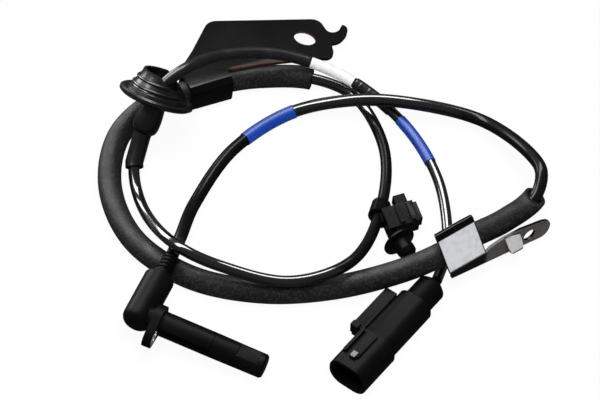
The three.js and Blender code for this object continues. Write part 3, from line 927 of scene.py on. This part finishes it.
class HARNESS_OT_grommet(bpy.types.Operator):
    """Finish the rubber grommet, its cup's ridges and its boot's belly"""

    bl_idname = "harness.grommet"
    bl_label = "Grommet"

    # The cup's axis, and how far up it the disc lies from the cable's centre line, in mm.
    axis = Vector((0.33, 0.565, 0.757)).normalized()
    disc_offset = 1.2
    # Name, height above the disc and radius of each ridge, in mm.
    cup_ridges = [("lower_cup_ridge", 3.9, 12.25), ("upper_cup_ridge", 7.0, 10.95)]
    ridge_profile = [(-0.9, -1.0), (0.3, -0.7), (0.6, -0.2), (0.5, 0.3), (0.0, 0.7), (-1.1, 0.9)]
    # A point and the upward normal of the slanted cut, in the cup's own frame.
    cut_point = Vector((3.6, 0.0, 8.2))
    cut_normal = Vector((0.523, 0.0, 0.853))
    # Distance from the belly's start and radius, in mm.
    belly_profile = [
        (-1.4, 4.0), (-1.1, 4.5), (-0.4, 5.2), (0.8, 5.8), (2.2, 6.05), (5.0, 6.1), (8.0, 5.9),
    ]
    # Radii at the belly's upper end, in mm.
    belly_end = (5.5, 4.0)

    def execute(self, context):
        colors = context.scene.harness_hardware
        rubber = moulded_plastic("grommet_rubber", colors.rubber[:], 0.28, 900.0, 0.1, shine=0.35)
        dressed("grommet", rubber, "rubber", "body_grommet", 0.2, smooth=42)
        self.ridges(rubber)
        self.belly(rubber)
        return {"FINISHED"}

    def ridges(self, rubber):
        """Two rounded ridges round the cup, cut off where the cup is cut at a slant."""
        turn = Vector((0, 1, 0)).rotation_difference(self.axis).to_matrix().to_4x4()
        centre = route.sample(route.length_at(GROMMET_DISC))[0] + self.axis * self.disc_offset * MM
        place = Matrix.Translation(centre) @ turn @ Matrix.Rotation(-math.pi / 2, 4, "X")
        for name, height, radius in self.cup_ridges:
            bm = bmesh.new()
            lathe(bm, [(radius + out, height + up) for out, up in self.ridge_profile], place)
            bmesh.ops.bisect_plane(
                bm,
                geom=[*bm.verts, *bm.edges, *bm.faces],
                plane_co=place @ (self.cut_point * MM),
                plane_no=place.to_3x3() @ self.cut_normal,
                clear_outer=True,
            )
            bmesh.ops.holes_fill(bm, edges=[e for e in bm.edges if e.is_boundary])
            mesh_piece(name, bm, rubber, "rubber", smooth=50)

    def belly(self, rubber):
        """The boot's belly below the disc."""
        low, high = (route.length_at(station) for station in BELLY)
        rings = [(low + along * MM, radius * MM) for along, radius in self.belly_profile]
        rings += [(high, radius * MM) for radius in self.belly_end]
        bm = bmesh.new()
        along_cable(bm, rings)
        mesh_piece("boot_belly", bm, rubber, "rubber", smooth=50)


class HARNESS_OT_clip(bpy.types.Operator):
    """Finish the push-in clip"""

    bl_idname = "harness.clip"
    bl_label = "Clip"

    def execute(self, context):
        colors = context.scene.harness_hardware
        plastic = moulded_plastic("clip_plastic", colors.plastic[:], 0.26)
        dressed("clip_body", plastic, "moulding", "clip_moulding", 0.3)
        dressed("clip_anchor", plastic, "moulding", "clip_umbrella", 0.15)
        return {"FINISHED"}


class HARNESS_OT_connector(bpy.types.Operator):
    """Finish the connector, its boot and its terminals"""

    bl_idname = "harness.connector"
    bl_label = "Connector"

    place = bench_frame((58.5, -52.0, 6.9), (-0.61, -0.792, 0.022), (0.792, -0.61, 0))
    # Where the rail and its rear end start and how far they are moved, in mm.
    rail_side = -10.2
    rail_shift = 2.1
    rail_rear = 20.5
    rail_longer = 4.0
    # Painted pale glint on the lock nub's top.
    lock_glint_gray = (0.3, 0.3, 0.3)
    tinned_brass = (0.8, 0.77, 0.62)

    def execute(self, context):
        colors = context.scene.harness_hardware
        plastic = moulded_plastic(
            "connector_plastic", colors.plastic[:], 0.44, patches=[(self.lock_glint, self.lock_glint_gray)]
        )
        rubber = moulded_plastic("boot_rubber", colors.rubber[:], 0.5)
        metal = plated_metal("pin_plating", self.tinned_brass, 0.2)
        housing = dressed("connector_housing", plastic, "moulding", "plug_housing", 0.3)
        reshaped(housing, self.place, self.closed_rail)
        dressed("connector_rear_boot", rubber, "rubber", "plug_boot", 0.3)
        dressed("terminal_carrier", plastic, "moulding", "plug_carrier", 0.2)
        dressed("terminal_pin_1", metal, "pin_metal", "plug_pin_left", 0.15)
        dressed("terminal_pin_2", metal, "pin_metal", "plug_pin_right", 0.15)
        return {"FINISHED"}

    def closed_rail(self, point):
        """Brings the rail in to the housing and its rear end back towards the boot."""
        if point.y < self.rail_side:
            point.y += self.rail_shift
            if point.x < self.rail_rear:
                point.x -= self.rail_longer
        return point

    def lock_glint(self, finish):
        """Painted pale glint on the top of the small lock nub."""
        x, y, z = finish.local_axes(self.place)
        return within(x, 55.2, 58.2) * within(y, -2.6, -0.3) * z.ramp(8.8, 9.0)


OPERATORS = [
    HARNESS_OT_stage,
    HARNESS_OT_wraps,
    HARNESS_OT_cable,
    HARNESS_OT_hose,
    HARNESS_OT_sensor,
    HARNESS_OT_brackets,
    HARNESS_OT_grommet,
    HARNESS_OT_clip,
    HARNESS_OT_connector,
]

SETTINGS = {
    "harness_cable": CableSettings,
    "harness_hose": HoseSettings,
    "harness_wraps": WrapSettings,
    "harness_hardware": HardwareSettings,
    "harness_stage": StageSettings,
}


class HARNESS_PT_panel(bpy.types.Panel):
    """Sizes, colours and steps of the harness"""

    bl_label = "Harness"
    bl_idname = "HARNESS_PT_panel"
    bl_space_type = "VIEW_3D"
    bl_region_type = "UI"
    bl_category = "Harness"

    def draw(self, context):
        for name in SETTINGS:
            box = self.layout.box()
            group = getattr(context.scene, name)
            for key in group.__annotations__:
                box.prop(group, key)
        for operator in OPERATORS:
            self.layout.operator(operator.bl_idname)


def register():
    for group in (*SETTINGS.values(), *OPERATORS, HARNESS_PT_panel):
        bpy.utils.register_class(group)
    for name, group in SETTINGS.items():
        setattr(bpy.types.Scene, name, PointerProperty(type=group))


def unregister():
    for name in SETTINGS:
        delattr(bpy.types.Scene, name)
    for group in (HARNESS_PT_panel, *reversed(OPERATORS), *reversed(SETTINGS.values())):
        bpy.utils.unregister_class(group)


def main():
    register()
    for operator in OPERATORS:
        group, step = operator.bl_idname.split(".")
        getattr(getattr(bpy.ops, group), step)()
    bpy.context.view_layer.update()


if __name__ == "__main__":
    main()
